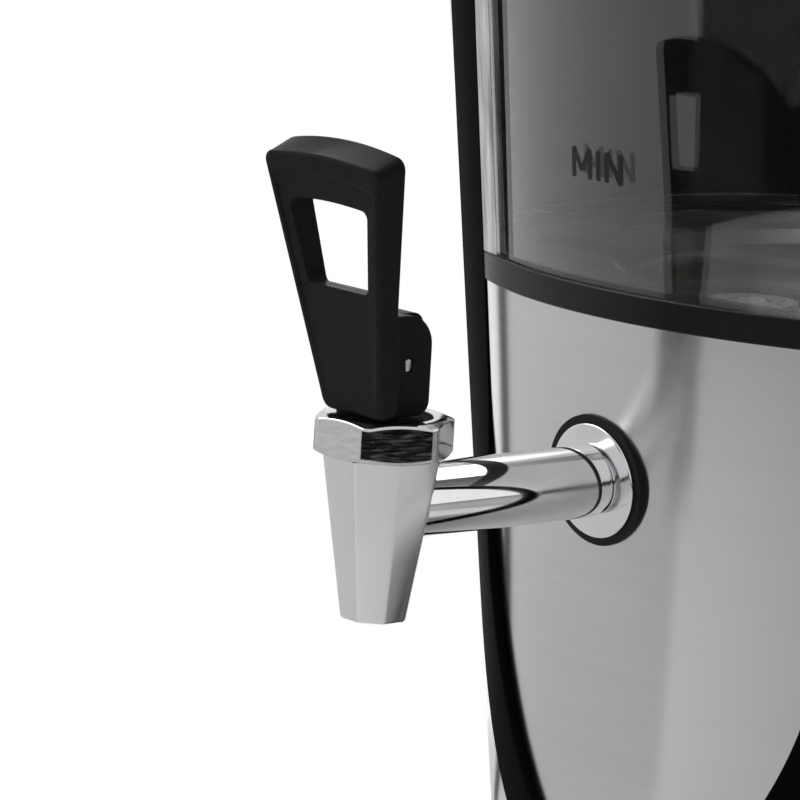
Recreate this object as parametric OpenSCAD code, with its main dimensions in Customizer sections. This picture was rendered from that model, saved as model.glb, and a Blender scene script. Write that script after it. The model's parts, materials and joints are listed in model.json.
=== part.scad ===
// Electric samovar with a glass tank, a tapered steel body and a lever tap.
// Millimetres. +Z is up, the origin is on the table under the body axis, and the tap points along -Y.

/* [Body] */
// Outer radius of the inner body at the glass seat
seat_r = 119.8; // [105:0.1:130]
// Height of the glass seat above the table
seat_z = 193.7; // [188:0.1:205]
// Half angle of the body, which widens upward, in degrees
taper = 6.35; // [4:0.05:8]
// Thickness of the steel sheet
sheet = 1; // [0.6:0.1:1.2]
// How far the outer shell stands out from the inner body
proud = 2.5; // [2.4:0.1:3.5]
// Height of the outer shell's top edge
shell_top = 330; // [315:1:345]
// Thickness of the dark lining inside the outer shell
liner_t = 0.9; // [0.6:0.1:1]

/* [Front window] */
// Width of the trim band round the window
trim_w = 20; // [14:0.5:20]
// Height of the trim's foot under the window
trim_foot = 10; // [6:0.5:20]
// Half width of the window where its flanks begin to curve
window_half = 59.2; // [54:0.1:62]
// Radius of the curved flanks
flank_r = 120; // [114:1:126]
// Radius of the rounded tip below
tip_r = 25; // [15:1:28]
// Outward lean of the window's upper sides, in degrees
window_lean = 0.9; // [0:0.1:4]
// How far the window's middle lies to the right of the tap, in degrees
window_turn = 2.4; // [0:0.1:3]

/* [Base] */
// Height of the base's upper edge
base_top = 28; // [24:0.5:28]
// Thickness of the base's wall
base_wall = 5; // [4.5:0.1:6]
// Thickness of the base's floor
base_floor = 3; // [2:0.1:4]
// Height of the rubber feet
foot_h = 4; // [3:0.1:6]
// Radius of the rubber feet
foot_r = 10; // [8:0.5:14]
// Distance of the outer feet from the axis
foot_ring = 76; // [60:1:80]
// Number of outer feet
foot_count = 4; // [3:1:6]
// Radius of the peg that holds a foot
foot_peg_r = 3; // [2:0.1:4]
// Radius of the base screws
base_screw_r = 2; // [1.5:0.1:2.5]

/* [Tank] */
// Thickness of the glass
glass_t = 4; // [3:0.1:5]
// How far the glass is set in from the inner body's surface
glass_set = 1; // [0.8:0.1:1.5]
// Height of the seat ring that shows under the glass
ring_h = 7.5; // [6.5:0.1:10]
// Thickness of the seat ring's ledge
ring_ledge = 3; // [2:0.1:4]
// Width of the seat ring's ledge
ring_w = 10; // [8:0.5:14]
// How far the seat ring stands out from the inner body
ring_proud = 0.3; // [0.1:0.1:1]
// Thickness of the flat seals at the ends of the glass
seal_t = 1.5; // [1:0.1:2]
// Radius of the sunk middle of the tank floor
step_r = 78; // [77:0.5:90]
// Depth of the sunk middle
step_d = 5; // [3:0.1:8]

/* [Top] */
// Height of the rim above the outer shell
rim_h = 12; // [10:0.5:16]
// How far the rim stands out from the outer shell
rim_over = 1.8; // [1:0.1:3]
// Width of the ledge that carries the lid
lid_ledge = 5; // [3:0.5:8]
// Clearance of the lid in the rim
lid_gap = 0.6; // [0.4:0.1:1]
// Gap under the resting lid
lid_rest = 0.3; // [0.2:0.1:0.5]
// Rise of the lid's dome
lid_rise = 11; // [6:0.5:16]
// Inner radius of the teapot ring
pot_in = 40; // [35:0.5:45]
// Outer radius of the teapot ring
pot_out = 62; // [55:0.5:66]
// Height of the teapot ring
pot_h = 4; // [3:0.1:6]
// Number of steam holes
steam_count = 8; // [6:1:10]
// Radius of a steam hole
steam_r = 2.5; // [1.5:0.1:3]

/* [Handles] */
// Height of the side handles
handle_z = 305; // [290:1:306]
// Reach of the grip from the outer shell
handle_reach = 32; // [28:1:40]
// Radius of the grip
handle_r = 7; // [6:0.5:8]
// Angle between a handle's two arms, in degrees
handle_span = 32; // [26:1:40]

/* [Tap] */
// Height of the tap's pipe axis
tap_z = 152; // [148:0.5:154]
// Distance of the tap's stem from the inner body
tap_reach = 70.8; // [66:0.1:80]
// Corner radius of the eight-sided spout under the nut
spout_top_r = 15.1; // [14:0.1:15.5]
// Corner radius of the eight-sided spout at its outlet
spout_low_r = 8.4; // [7.5:0.1:9.5]
// Length of the spout below the pipe axis
spout_drop = 28; // [24:0.5:34]
// Height of the spout's upper edge above the pipe axis
spout_rise = 12.2; // [11:0.1:13]
// Radius of the outlet bore
outlet_r = 5.2; // [4:0.1:5.8]
// Radius of the valve chamber
chamber_r = 8; // [7.5:0.1:8.5]
// Outer radius of the pipe
pipe_r = 9.1; // [8.5:0.1:10]
// Bore radius of the pipe
pipe_bore_r = 5.5; // [4:0.1:6]
// Radius of the polished flange
flange_r = 14.6; // [13:0.1:16]
// Thickness of the flange
flange_t = 0.9; // [0.7:0.1:1.5]
// Radius of the rubber gasket behind the flange
gasket_r = 16.7; // [15.5:0.1:17.5]
// Thickness of the gasket where the wall comes nearest
gasket_lift = 0.7; // [0.5:0.1:1.5]
// Width across flats of the bonnet nut
nut_flats = 30.8; // [30:0.1:32]
// Height of the bonnet nut
nut_h = 9.8; // [9.5:0.1:12]
// Turn of the bonnet nut's flats from square
nut_turn = 4.7; // [0:0.1:30]
// Radius of the black bush in the nut
bush_r = 11.5; // [10:0.1:11.8]
// Radius of the valve stem
stem_r = 3; // [2.5:0.1:3.4]

/* [Lever] */
// Height of the lever's pin above the nut
pin_h = 13; // [12:0.1:15]
// Radius of the lever's pin
pin_r = 1.5; // [1.2:0.1:1.8]
// Gap between the lever's foot and the nut
toe_gap = 0.5; // [0.5:0.1:1]
// Height of the lever above its pin
lever_h = 49; // [45:0.5:55]
// Half width of the lever at its top
lever_top_half = 21.6; // [18:0.1:23]
// Half width of the lever at its foot
lever_low_half = 10.8; // [9:0.1:12]
// Distance of the lever's foot in front of the pin
toe_reach = 10.6; // [10.4:0.1:12]
// Forward lean of the lever's front face, in degrees
lever_lean = 13.2; // [8:0.1:15]
// Depth of the lever at its top
lever_top_t = 9; // [6:0.1:10]
// Half width of the lobe that holds the pin
lobe_half = 8; // [7:0.1:9]
// Depth of the lobe behind the pin
lobe_back = 7.1; // [6:0.1:8]
// Height of the lobe above the pin
lobe_up = 12; // [10:0.5:14]
// Widest tilt of the lever, in degrees
lever_tilt = 28; // [20:1:28]

/* [Controls] */
// Height of the control knob's axis
knob_z = 16; // [16:0.5:16.5]
// Radius of the control knob
knob_r = 10; // [8:0.5:10.5]
// Depth of the control knob
knob_t = 11; // [8:0.5:14]
// Radius of the control spindle
spindle_r = 3; // [2.5:0.1:3.2]
// Sideways place of the pilot lamp
lamp_x = 26; // [22:1:30]
// Radius of the pilot lamp
lamp_r = 3; // [2:0.1:4]
// Width of the mains inlet
inlet_w = 28; // [26:0.5:30]
// Height of the mains inlet
inlet_h = 18; // [17:0.5:18]

/* [Clearances] */
// Clearance between fixed pieces that meet side by side
fit_gap = 0.15; // [0.1:0.05:0.25]
// Radial clearance of a turning or sliding fit
run_gap = 0.05; // [0.03:0.01:0.08]
// Clearance between pieces that pass each other
pass_gap = 0.4; // [0.3:0.1:0.6]

/* [Hidden] */
$fn = 96;
body_fn = 360;

// How far shapes that join run into each other
overlap = 2;
// How far a cut runs past a face, a little or clear of the whole piece
cut_step = 1;
cut_over = 20;

// Radius of the inner body's surface at height z
slope = tan(taper);
function wall_r(z) = seat_r + (z - seat_z) * slope;
function shell_r(z) = wall_r(z) + proud;

// Base screws, placed clear of the inlet behind and the knob in front, and the brackets that take them
base_screw_count = 3;
screw_in = 12;
screw_place = wall_r(base_top) - screw_in;
screw_boss_r = 6;
screw_sunk = 2;
screw_head_t = 2;
screw_reach = 6;
bracket_lap = 7;
bracket_in = screw_place - bracket_lap;
bracket_w = 14;
bracket_t = 4;
bracket_h = 12;
bracket_wing = 3;

// Heights in the base and the tank
base_low = foot_h;
base_in = base_low + base_floor;
floor_low = seat_z + ring_ledge;
floor_top = floor_low + sheet;
glass_low = floor_top + seal_t;
glass_top = shell_top - seal_t;
sunk_low = floor_low - step_d;
sunk_top = sunk_low + sheet;
ring_skirt_t = 1.2;
ring_skirt_h = 6;
seal_lap = 1;

// Front window: the trim's tip stands on the base, and the flanks begin to curve at bend_z
trim_low = base_top + fit_gap;
window_foot = trim_low + trim_foot;
bend_z = window_foot + tip_r + sqrt(pow(flank_r - tip_r, 2) - pow(flank_r - window_half, 2));
window_rise = shell_top + cut_over - bend_z;

// Tap: depths are distances in front of the body axis, heights are above the table
tap_y = wall_r(tap_z) + tap_reach;
pipe_end = wall_r(tap_z) + gasket_lift + flange_t + pipe_r * slope + pass_gap;
tail_r = 8;
tail_bore_r = pipe_bore_r - 1;
barb_r = 6.5;
spout_top = tap_z + spout_rise;
spout_low = tap_z - spout_drop;
valve_drop = 5;
valve_z = tap_z - valve_drop;
nut_low = spout_top;
nut_top = nut_low + nut_h;
spigot_r = 12;
spigot_h = 3.3;
bush_seat = 0.5;
bush_low = nut_low + spigot_h + bush_seat;
plug_r = 6.8;
plug_h = 4;
plug_gap = 0.3;
plug_low = valve_z + plug_gap;
collar_r = 6;
collar_h = 2;
collar_top = plug_low + plug_h + collar_h;
pin_z = nut_top + pin_h;
head_half = 2;
head_up = 4;
stem_top = pin_z + head_up;
flat_sunk = 4.8;
washer_t = 3.5;
washer_in = wall_r(tap_z) - sheet - washer_t;
washer_r = 12;
lock_t = 7;
lock_flats = 24;
tail_spare = 2.5;
tail_in = washer_in - lock_t - tail_spare;
barb_len = 16;
barb_in = tail_in - barb_len;
nut_face_r = nut_flats / 2 - 0.4;
nut_bevel_w = 3.4;
nut_bevel_h = 1.4;

// Drain: a flanged fitting in the sunk floor, and a bent hose down to the tap's tail
drain_y = 64;
drain_bore_r = 5;
drain_neck_r = 7.5;
drain_flange_r = 11.5;
drain_flange_t = 2;
drain_washer_t = 1;
drain_nut_t = 5.5;
drain_nut_flats = 21;
hose_bend = 16;
hose_r = 9;
hose_in_r = barb_r + run_gap;
drain_nut_low = sunk_low - drain_washer_t - drain_nut_t;
drain_tail = 2;
drain_low = tap_z + hose_bend + drain_tail;
hose_gap = 0.6;
hose_top = drain_nut_low - hose_gap;
hose_grip = 14;
hose_front = barb_in + hose_grip;
clamp_w = 5;
clamp_t = 0.8;

// Heater under the sunk floor
spreader_r = 50;
spreader_t = 3.5;
spreader_low = sunk_low - spreader_t;
coil_r = 40;
coil_tube_r = 3.6;
coil_z = spreader_low - coil_tube_r;
coil_gap_angle = 40;
leg_drop = 14;
terminal_r = 4.5;
terminal_h = 8;
tab_t = 0.8;
tab_w = 6;
tab_h = 7;
thermostat_r = 11;
thermostat_h = 12;
thermostat_lip = 3;
thermostat_lip_t = 2;
fuse_r = 3;
fuse_len = 22;
fuse_y = 22;

// Controls in the base
boss_r = 11.9;
boss_proud = 0.5;
boss_front = shell_r(base_top) + boss_proud;
knob_back = boss_front + pass_gap;
control_w = 30;
control_d = 24;
control_h = 20;
control_gap = 1.6;
control_front = shell_r(base_low) - base_wall - control_gap;
spindle_in = 8;
knob_bore_end = 3;
mark_w = 3;
mark_t = 2;
inlet_proud = 1;
inlet_front = shell_r(base_top) + inlet_proud;
inlet_block = 4;
inlet_lip = 2;
inlet_flange_t = 2;
inlet_wall = 2;
inlet_depth = 20;
inlet_back = 3;
inlet_pin_depth = 12;
inlet_pin_w = 2;
inlet_pin_h = 4;
inlet_pin_pitch = 7;
inlet_pin_up = 3;
inlet_pin_down = 1;
lamp_len = 16;
lamp_dome = 1;
lamp_front = sqrt(pow(shell_r(knob_z), 2) - lamp_x * lamp_x);

// Lid and handles
rim_r = shell_r(shell_top) + rim_over;
rim_lap = 2;
rim_in = wall_r(shell_top) - glass_set - glass_t - rim_lap;
rim_bevel = 2;
ledge_z = shell_top + rim_h / 2;
ledge_r = rim_in + lid_ledge;
lid_r = ledge_r - lid_gap;
lid_low = ledge_z + lid_rest;
dome_top = lid_low + sheet + lid_rise;
dome_margin = 10;
dome_r = pot_out + dome_margin;
dome_run = 24;
dome_foot = dome_r + dome_run;
lid_lip_w = 2;
lid_lip_h = 1;
lug_r = 9;
handle_base = shell_r(handle_z);
handle_arc = handle_base + handle_reach;
handle_knuckle = 0.6;
handle_foot_r = handle_r + 3;
handle_foot_t = 4;
handle_root = 6;
handle_screw_r = 2;
handle_head_r = 4;
handle_head_t = 1.4;
handle_head_gap = 0.6;
handle_screw_len = 14;
handle_hole = 15;

// Solid of revolution between two heights, off millimetres out from the inner body's surface
module body_cone(low, high, off)
    rotate_extrude($fn = body_fn)
        polygon([[0, low], [wall_r(low) + off, low], [wall_r(high) + off, high], [0, high]]);

// Tapered sheet whose outer surface lies off millimetres out from the inner body's surface
module cone_sheet(low, high, off, t)
    rotate_extrude($fn = body_fn)
        polygon([[wall_r(low) + off - t, low], [wall_r(low) + off, low],
            [wall_r(high) + off, high], [wall_r(high) + off - t, high]]);

// Flat ring between two radii
module ring(low, high, r_in, r_out)
    rotate_extrude()
        translate([r_in, low])
            square([r_out - r_in, high - low]);

// Cylinder along -Y between two depths
module along_y(near, far, r)
    translate([0, -near, 0])
        rotate([90, 0, 0])
            cylinder(r = r, h = far - near);

// Hexagonal prism of a given width across flats
module hex_bar(flats, h)
    linear_extrude(h)
        circle(r = flats / 2 / cos(30), $fn = 6);

// Front outline of the window, grown sideways and ending at a height, in the plane of X and Z
module window_outline(grow, low) {
    side = window_half + grow;
    tip = tip_r + grow;
    tip_z = low + tip;
    reach = (side + tip) / 2 + pow(bend_z - tip_z, 2) / (side - tip) / 2;
    flank_x = reach - side;
    top_side = side + window_rise * tan(window_lean);
    polygon([[-side, bend_z], [side, bend_z], [top_side, bend_z + window_rise],
        [-top_side, bend_z + window_rise]]);
    meet_low = bend_z + (tip_z - bend_z) * reach / (reach - tip);
    intersection() {
        translate([flank_x, bend_z])
            circle(r = reach, $fn = 180);
        translate([-flank_x, bend_z])
            circle(r = reach, $fn = 180);
        translate([-side, meet_low])
            square([2 * side, bend_z - meet_low + overlap]);
    }
    translate([0, tip_z])
        circle(r = tip);
}

// The window's outline pushed forward through the front wall
module window_cut(grow, low)
    rotate([90, 0, window_turn])
        linear_extrude(shell_r(shell_top) + cut_over)
            window_outline(grow, low);

// Copies of children set round the axis
module around(count, first = 0)
    for (i = [0 : count - 1])
        rotate([0, 0, first + i * 360 / count])
            children();

// Points of a tube: a ring of sides round each point of a path, square to the path there
function unit(v) = v / norm(v);
function path_dir(p, i) = unit(p[min(i + 1, len(p) - 1)] - p[max(i - 1, 0)]);
function side_dir(d) = unit(cross(d, abs(d[2]) < 0.9 ? [0, 0, 1] : [1, 0, 0]));
function tube_points(p, r, sides) = [
    for (i = [0 : len(p) - 1])
        let (d = path_dir(p, i), a = side_dir(d), b = cross(d, a))
            for (j = [0 : sides - 1])
                p[i] + r * (cos(360 * j / sides) * a + sin(360 * j / sides) * b)];
function tube_sides(n, sides) = [
    for (i = [0 : n - 2], j = [0 : sides - 1])
        let (a = i * sides + j, b = i * sides + (j + 1) % sides)
            for (f = [[a, b, b + sides], [a, b + sides, a + sides]])
                f];
function tube_ends(n, sides) = [
    for (j = [1 : sides - 2])
        for (f = [[0, j + 1, j], [(n - 1) * sides, (n - 1) * sides + j, (n - 1) * sides + j + 1]])
            f];
module tube(p, r, sides)
    polyhedron(tube_points(p, r, sides), concat(tube_sides(len(p), sides), tube_ends(len(p), sides)));

module base_cover()
    color("#1b1b1c")
        difference() {
            union() {
                intersection() {
                    body_cone(base_low, base_top, proud);
                    union() {
                        ring(base_in, base_top, wall_r(base_low) + proud - base_wall, shell_r(base_top));
                        translate([0, 0, base_low])
                            cylinder(r = shell_r(base_top), h = base_floor);
                    }
                }
                translate([0, 0, knob_z])
                    along_y(control_front, boss_front, boss_r);
                translate([-inlet_w / 2 - inlet_block, control_front, base_low])
                    cube([inlet_w + 2 * inlet_block, inlet_front - control_front, base_top - base_low]);
                around(base_screw_count)
                    translate([screw_place, 0, base_low])
                        cylinder(r = screw_boss_r, h = base_top - base_low);
            }
            translate([0, 0, knob_z])
                along_y(control_front - cut_step, boss_front + cut_step, spindle_r + run_gap);
            translate([lamp_x, 0, knob_z])
                along_y(lamp_front - cut_over, lamp_front + cut_over, lamp_r + fit_gap);
            translate([-inlet_w / 2 - fit_gap, control_front - cut_step, knob_z - inlet_h / 2 - fit_gap])
                cube([inlet_w + 2 * fit_gap, inlet_front - control_front + 2 * cut_step,
                    inlet_h + 2 * fit_gap]);
            foot_places()
                translate([0, 0, base_low - cut_step])
                    cylinder(r = foot_peg_r + fit_gap, h = base_floor + 2 * cut_step);
            around(base_screw_count)
                translate([screw_place, 0, base_low - cut_step]) {
                    cylinder(r = base_screw_r + fit_gap, h = base_top);
                    cylinder(r = 2 * base_screw_r + fit_gap, h = screw_sunk + screw_head_t + cut_step);
                }
        }

// The outer feet and one in the middle, which carries the floor under a full tank
module foot_places() {
    around(foot_count, 45)
        translate([foot_ring, 0, 0])
            children();
    children();
}

module feet()
    color("#202020")
        foot_places() {
            cylinder(r = foot_r, h = foot_h);
            cylinder(r = foot_peg_r, h = foot_h + base_floor);
        }

module base_screws()
    color("silver")
        around(base_screw_count)
            translate([screw_place, 0, base_low + screw_sunk]) {
                cylinder(r = base_screw_r, h = base_top - base_low + screw_reach);
                cylinder(r = 2 * base_screw_r, h = screw_head_t);
            }

// Angle brackets spot-welded inside the inner body, which take the base screws
module shell_brackets()
    color("lightgray")
        around(base_screw_count)
            intersection() {
                body_cone(base_top, base_top + 2 * bracket_h, -sheet);
                difference() {
                    translate([bracket_in, -bracket_w / 2, base_top])
                        cube([wall_r(base_top + bracket_h) - bracket_in, bracket_w, bracket_h]);
                    translate([bracket_in - cut_step, -bracket_w / 2 - cut_step, base_top + bracket_t])
                        cube([wall_r(base_top) - bracket_wing - bracket_in + cut_step,
                            bracket_w + 2 * cut_step, bracket_h]);
                    translate([screw_place, 0, base_top - cut_step])
                        cylinder(r = base_screw_r, h = bracket_t + 2 * cut_step);
                }
            }

module body_shell()
    color("#a9abad")
        difference() {
            cone_sheet(base_top, seat_z, 0, sheet);
            translate([0, 0, tap_z])
                along_y(wall_r(tap_z) - cut_over, wall_r(tap_z) + cut_over, tail_r + pass_gap);
        }

module outer_shell()
    color("#a4a6a8")
        difference() {
            cone_sheet(base_top, shell_top, proud, sheet);
            window_cut(trim_w + fit_gap, base_top);
            handle_screw_axes()
                cylinder(r = handle_screw_r + fit_gap, h = cut_over, center = true);
        }

module shell_liner()
    color("#101011")
        difference() {
            cone_sheet(seat_z + ring_h + pass_gap, shell_top, proud - sheet - fit_gap, liner_t);
            window_cut(trim_w + fit_gap, base_top);
            handle_screw_axes()
                cylinder(r = handle_head_r + pass_gap, h = cut_over, center = true);
        }

module front_trim()
    color("#19191a")
        intersection() {
            cone_sheet(base_top + fit_gap, shell_top - fit_gap, proud, proud - ring_proud - fit_gap);
            difference() {
                window_cut(trim_w, trim_low);
                window_cut(0, window_foot);
            }
        }

module glass_seat_ring()
    color("#1a1a1b")
        rotate_extrude()
            polygon([
                [wall_r(seat_z) - ring_w, seat_z],
                [wall_r(seat_z) - sheet - fit_gap - ring_skirt_t, seat_z],
                [wall_r(seat_z - ring_skirt_h) - sheet - fit_gap - ring_skirt_t, seat_z - ring_skirt_h],
                [wall_r(seat_z - ring_skirt_h) - sheet - fit_gap, seat_z - ring_skirt_h],
                [wall_r(seat_z) - sheet - fit_gap, seat_z],
                [wall_r(seat_z) + ring_proud, seat_z],
                [wall_r(seat_z + ring_h) + ring_proud, seat_z + ring_h],
                [wall_r(seat_z + ring_h) - glass_set + fit_gap, seat_z + ring_h],
                [wall_r(floor_low) - glass_set + fit_gap, floor_low],
                [wall_r(seat_z) - ring_w, floor_low]]);

module tank_floor()
    color("#c8cacc")
        difference() {
            rotate_extrude()
                polygon([[0, sunk_low], [step_r, sunk_low], [step_r + sheet, floor_low],
                    [wall_r(floor_low) - glass_set, floor_low], [wall_r(floor_low) - glass_set, floor_top],
                    [step_r, floor_top], [step_r - sheet, sunk_top], [0, sunk_top]]);
            translate([0, -drain_y, sunk_low - cut_step])
                cylinder(r = drain_neck_r + fit_gap, h = sheet + 2 * cut_step);
        }

module glass_seal()
    color("#2a2a2a")
        ring(floor_top, glass_low, wall_r(glass_low) - glass_set - glass_t - seal_lap,
            wall_r(floor_top) - glass_set);

module glass_tank()
    color("#8f979a", 0.4)
        cone_sheet(glass_low, glass_top, -glass_set, glass_t);

module top_seal()
    color("#2a2a2a")
        ring(glass_top, shell_top, wall_r(glass_top) - glass_set - glass_t, wall_r(glass_top) - glass_set);

module top_rim()
    color("#1a1a1b")
        rotate_extrude()
            polygon([[rim_in, shell_top], [rim_r, shell_top], [rim_r, shell_top + rim_h - rim_bevel],
                [rim_r - rim_bevel, shell_top + rim_h], [ledge_r, shell_top + rim_h], [ledge_r, ledge_z],
                [rim_in, ledge_z]]);

module lid_plate()
    color("#b4b6b8")
        difference() {
            rotate_extrude()
                polygon([[0, dome_top - sheet], [dome_r, dome_top - sheet], [dome_foot, lid_low],
                    [lid_r, lid_low], [lid_r, lid_low + sheet + lid_lip_h],
                    [lid_r - lid_lip_w, lid_low + sheet + lid_lip_h],
                    [lid_r - lid_lip_w - lid_lip_h, lid_low + sheet], [dome_foot, lid_low + sheet],
                    [dome_r, dome_top], [0, dome_top]]);
            around(steam_count)
                translate([pot_in / 2, 0, dome_top - 2 * sheet])
                    cylinder(r = steam_r, h = 4 * sheet);
        }

// Ring that a teapot stands on, with two finger lugs for lifting the lid
module teapot_ring()
    color("#1a1a1b")
        difference() {
            union() {
                ring(dome_top, dome_top + pot_h, pot_in, pot_out);
                for (side = [-1, 1])
                    translate([side * pot_out, 0, dome_top])
                        cylinder(r = lug_r, h = pot_h);
            }
            translate([0, 0, dome_top - cut_step])
                cylinder(r = pot_in, h = pot_h + 2 * cut_step);
        }

// Axes of the four handle screws, pointing outward
module handle_screw_axes()
    for (side = [0, 180], half = [-1, 1])
        rotate([0, 0, side + half * handle_span / 2])
            translate([handle_base, 0, handle_z])
                rotate([0, 90, 0])
                    children();

module side_handle()
    difference() {
        union() {
            rotate([0, 0, -handle_span / 2])
                translate([0, 0, handle_z])
                    rotate_extrude(angle = handle_span)
                        translate([handle_arc, 0])
                            circle(r = handle_r);
            for (half = [-1, 1])
                rotate([0, 0, half * handle_span / 2]) {
                    translate([handle_arc, 0, handle_z])
                        sphere(r = handle_r + handle_knuckle);
                    translate([handle_base - handle_root, 0, handle_z])
                        rotate([0, 90, 0]) {
                            cylinder(r = handle_r, h = handle_reach + handle_root);
                            cylinder(r = handle_foot_r, h = handle_root + handle_foot_t);
                        }
                }
        }
        body_cone(handle_z - cut_over, handle_z + cut_over, proud + run_gap);
        for (half = [-1, 1])
            rotate([0, 0, half * handle_span / 2])
                translate([handle_base - handle_root, 0, handle_z])
                    rotate([0, 90, 0])
                        cylinder(r = handle_screw_r, h = handle_root + handle_hole);
    }

module side_handle_right()
    color("#161617")
        side_handle();

module side_handle_left()
    color("#161617")
        rotate([0, 0, 180])
            side_handle();

module handle_screws()
    color("silver")
        handle_screw_axes() {
            translate([0, 0, -sheet - handle_head_gap - handle_head_t])
                cylinder(r = handle_head_r, h = handle_head_t);
            translate([0, 0, -sheet - handle_head_gap])
                cylinder(r = handle_screw_r, h = handle_screw_len);
        }

// Outside of the spout, whose front is one of its eight flats
module spout_solid()
    translate([0, -tap_y, spout_low])
        rotate([0, 0, 22.5])
            cylinder(r1 = spout_low_r, r2 = spout_top_r, h = spout_top - spout_low, $fn = 8);

module tap_spout()
    color("#c9cbcd")
        difference() {
            union() {
                spout_solid();
                translate([0, -tap_y, spout_top])
                    cylinder(r = spigot_r, h = spigot_h);
            }
            translate([0, -tap_y, spout_low - cut_step])
                cylinder(r = outlet_r, h = valve_z - spout_low + 2 * cut_step);
            translate([0, -tap_y, valve_z])
                cylinder(r = chamber_r, h = spout_top - valve_z + spigot_h + cut_step);
            translate([0, 0, tap_z])
                along_y(pipe_end, tap_y, pipe_bore_r);
        }

// Pipe brazed to the spout, with a tail through the wall and a plain end for the hose
module tap_pipe()
    color("#c9cbcd")
        difference() {
            translate([0, 0, tap_z]) {
                along_y(pipe_end, tap_y, pipe_r);
                along_y(tail_in, pipe_end + overlap, tail_r);
                along_y(barb_in, tail_in + overlap, barb_r);
            }
            spout_solid();
            translate([0, 0, tap_z]) {
                along_y(barb_in - cut_step, pipe_end, tail_bore_r);
                along_y(pipe_end - cut_step, tap_y, pipe_bore_r);
            }
        }

// Sets a piece built upward so that it stands out from the leaning wall round the pipe
module on_wall()
    translate([0, -wall_r(tap_z), tap_z])
        rotate([taper, 0, 0])
            rotate([90, 0, 0])
                children();

module tap_flange()
    color("#d6d8da")
        difference() {
            on_wall()
                translate([0, 0, gasket_lift])
                    cylinder(r = flange_r, h = flange_t);
            translate([0, 0, tap_z])
                along_y(tail_in, tap_y, tail_r + fit_gap);
        }

// Rubber gasket, flat in front and shaped to the round wall behind
module tap_gasket()
    color("#141414")
        difference() {
            on_wall()
                translate([0, 0, gasket_lift - cut_over])
                    cylinder(r = gasket_r, h = cut_over);
            body_cone(tap_z - 2 * cut_over, tap_z + 2 * cut_over, 0);
            translate([0, 0, tap_z])
                along_y(tail_in, tap_y, tail_r + fit_gap);
        }

module tap_washer()
    color("#303030")
        difference() {
            intersection() {
                translate([0, 0, tap_z])
                    along_y(washer_in, wall_r(tap_z) + cut_over, washer_r);
                body_cone(tap_z - cut_over, tap_z + cut_over, -sheet);
            }
            translate([0, 0, tap_z])
                along_y(washer_in - cut_step, wall_r(tap_z) + cut_over, tail_r + run_gap);
        }

module tap_lock_nut()
    color("#b9a36a")
        difference() {
            translate([0, -washer_in + lock_t, tap_z])
                rotate([90, 0, 0])
                    hex_bar(lock_flats, lock_t);
            translate([0, 0, tap_z])
                along_y(washer_in - lock_t - cut_step, washer_in + cut_step, tail_r + run_gap);
        }

// Hexagonal nut with turned corners, one flat facing nearly front
module bonnet_nut()
    color("#cfd1d3")
        translate([0, -tap_y, 0])
            difference() {
                intersection() {
                    translate([0, 0, nut_low])
                        rotate([0, 0, nut_turn])
                            hex_bar(nut_flats, nut_h);
                    rotate_extrude()
                        polygon([[0, nut_low], [nut_face_r, nut_low],
                            [nut_face_r + nut_bevel_w, nut_low + nut_bevel_h],
                            [nut_face_r + nut_bevel_w, nut_top - nut_bevel_h],
                            [nut_face_r, nut_top], [0, nut_top]]);
                }
                translate([0, 0, nut_low - cut_step])
                    cylinder(r = spigot_r + run_gap, h = bush_low - nut_low + cut_step);
                translate([0, 0, bush_low - cut_step])
                    cylinder(r = bush_r + run_gap, h = nut_h);
            }

module bonnet_bush()
    color("#111112")
        translate([0, -tap_y, bush_low])
            difference() {
                cylinder(r = bush_r, h = nut_top - bush_low);
                translate([0, 0, -cut_step])
                    cylinder(r = stem_r + run_gap, h = nut_h);
            }

// Valve stem with a collar for the spring and a flattened head for the lever's pin
module tap_stem()
    color("#b8a266")
        translate([0, -tap_y, 0])
            difference() {
                union() {
                    translate([0, 0, plug_low])
                        cylinder(r = stem_r, h = stem_top - plug_low);
                    translate([0, 0, collar_top - collar_h])
                        cylinder(r = collar_r, h = collar_h);
                }
                for (side = [-1, 1])
                    translate([0, side * (head_half + cut_over / 2), nut_top - flat_sunk + cut_over])
                        cube([cut_over, cut_over, 2 * cut_over], center = true);
                translate([0, 0, pin_z])
                    rotate([0, 90, 0])
                        cylinder(r = pin_r, h = cut_over, center = true);
            }

module stem_plug()
    color("#7d7468")
        translate([0, -tap_y, plug_low])
            difference() {
                cylinder(r = plug_r, h = plug_h);
                translate([0, 0, -cut_step])
                    cylinder(r = stem_r, h = plug_h + 2 * cut_step);
            }

// Closing spring between the stem's collar and the bush, one unbroken tube
spring_r = 5.1;
spring_wire_r = 0.45;
spring_turns = 5;
spring_seat = 0.1;
spring_low = collar_top + spring_wire_r + spring_seat;
spring_high = bush_low - spring_wire_r - spring_seat;
spring_steps = 12;
spring_path = [
    for (i = [0 : spring_turns * spring_steps])
        let (a = 360 * i / spring_steps, share = i / (spring_turns * spring_steps))
            [spring_r * cos(a), spring_r * sin(a) - tap_y, spring_low + (spring_high - spring_low) * share]];
spring_self_gap = min([
    for (i = [0 : len(spring_path) - spring_steps - 1])
        norm(spring_path[i + spring_steps] - spring_path[i])]) - 2 * spring_wire_r;
echo(spring_self_gap = spring_self_gap);

module stem_spring()
    color("#9a9c9e")
        tube(spring_path, spring_wire_r, 6);

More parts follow.
